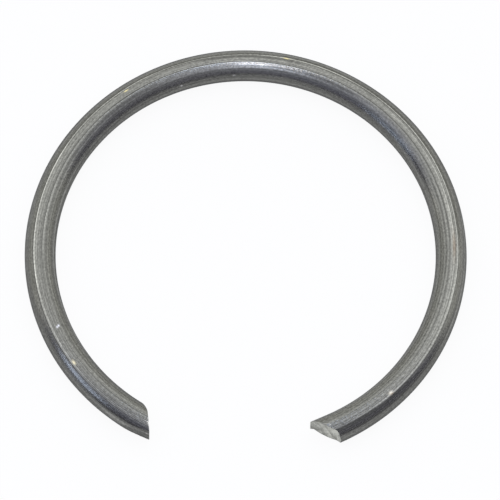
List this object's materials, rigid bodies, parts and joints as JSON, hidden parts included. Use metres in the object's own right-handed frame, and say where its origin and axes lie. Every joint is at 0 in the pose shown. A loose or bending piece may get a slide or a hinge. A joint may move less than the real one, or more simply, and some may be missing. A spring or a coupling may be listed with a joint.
{
  "type": "wire snap ring",
  "caption": "Open ring of round spring-steel wire that snaps into a groove inside a bore and holds a part in place along the shaft.",
  "frame": {"origin": "centre of the ring, on its axis and halfway through the wire's thickness", "axes": "+Z along the ring's axis, +X across the ring parallel to its gap, -Y from the centre towards the middle of the gap"},
  "size_m": [0.0284, 0.027, 0.002],
  "materials": {
    "spring_steel": "cold-drawn and hardened, bare grey with fine lengthwise draw marks"
  },
  "bodies": {
    "root": {"snap_ring": "spring_steel"}
  },
  "joints": []
}
